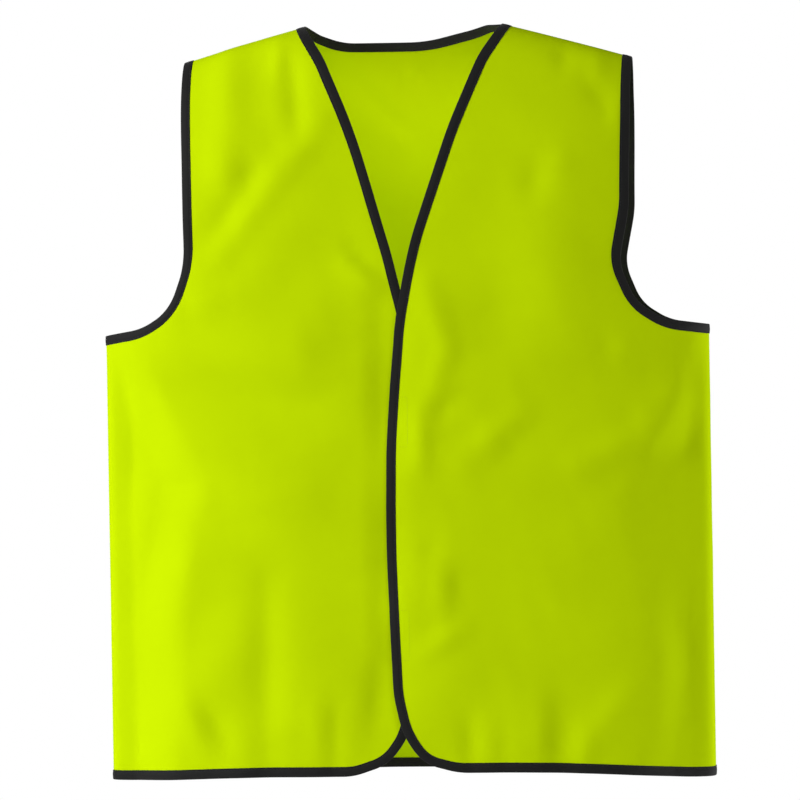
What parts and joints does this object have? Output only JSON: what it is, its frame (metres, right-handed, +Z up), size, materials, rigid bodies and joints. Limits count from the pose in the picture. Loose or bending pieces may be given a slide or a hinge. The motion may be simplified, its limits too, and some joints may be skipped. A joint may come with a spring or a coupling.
{
  "type": "high visibility vest",
  "caption": "Sleeveless fluorescent yellow high-visibility vest with black edge binding, a V neck, and overlapping fronts that close with hook-and-loop tape and fold open.",
  "frame": {"origin": "centre of the neck opening, level with the high points of the shoulders, in the plane of the shoulder and side seams", "axes": "+Z up along the wearer, +X to the wearer's left, +Y to the wearer's back, so the front faces -Y"},
  "size_m": [0.5762, 0.14, 0.7152],
  "materials": {
    "hi_vis_knit": "fine warp-knit polyester in fluorescent yellow, soft sheen",
    "black_binding": "matt black folded polyester tape, finely ribbed, edge stitched",
    "loop_tape": "brushed loop pile",
    "hook_tape": "moulded hooks on woven tape",
    "hi_vis_thread": "twisted polyester thread",
    "hi_vis_overlock": "overlocked seam allowance"
  },
  "bodies": {
    "vest_body": {"back_panel": "hi_vis_knit", "left_front_side": "hi_vis_knit", "right_front_side": "hi_vis_knit", "back_neck_binding": "black_binding", "back_hem_binding": "black_binding", "left_neck_binding": "black_binding", "right_neck_binding": "black_binding", "left_hem_binding": "black_binding", "right_hem_binding": "black_binding", "left_armhole_binding": "black_binding", "right_armhole_binding": "black_binding", "left_side_seam": "hi_vis_overlock", "right_side_seam": "hi_vis_overlock", "left_shoulder_seam": "hi_vis_overlock", "right_shoulder_seam": "hi_vis_overlock"},
    "left_front": {"left_front_panel": "hi_vis_knit", "left_front_binding": "black_binding", "chest_loop_tape": "loop_tape", "waist_loop_tape": "loop_tape", "loop_tape_stitches": "hi_vis_thread"},
    "right_front": {"right_front_panel": "hi_vis_knit", "right_front_binding": "black_binding", "chest_hook_tape": "hook_tape", "waist_hook_tape": "hook_tape", "hook_tape_stitches": "hi_vis_thread"}
  },
  "joints": [
    {"name": "left_front_opens", "type": "hinge", "parent": "vest_body", "child": "left_front", "pos_m": [0.046, -0.06293, -0.099], "axis": [-0.1689, 0.0048, 0.9856], "range_deg": [0, 160]},
    {"name": "right_front_opens", "type": "hinge", "parent": "vest_body", "child": "right_front", "pos_m": [-0.046, -0.06021, -0.099], "axis": [-0.1689, -0.0117, -0.9856], "range_deg": [0, 112]}
  ],
  "couplings": [
    {"joint": "right_front_opens", "follows": "left_front_opens", "ratio": 0.7}
  ]
}
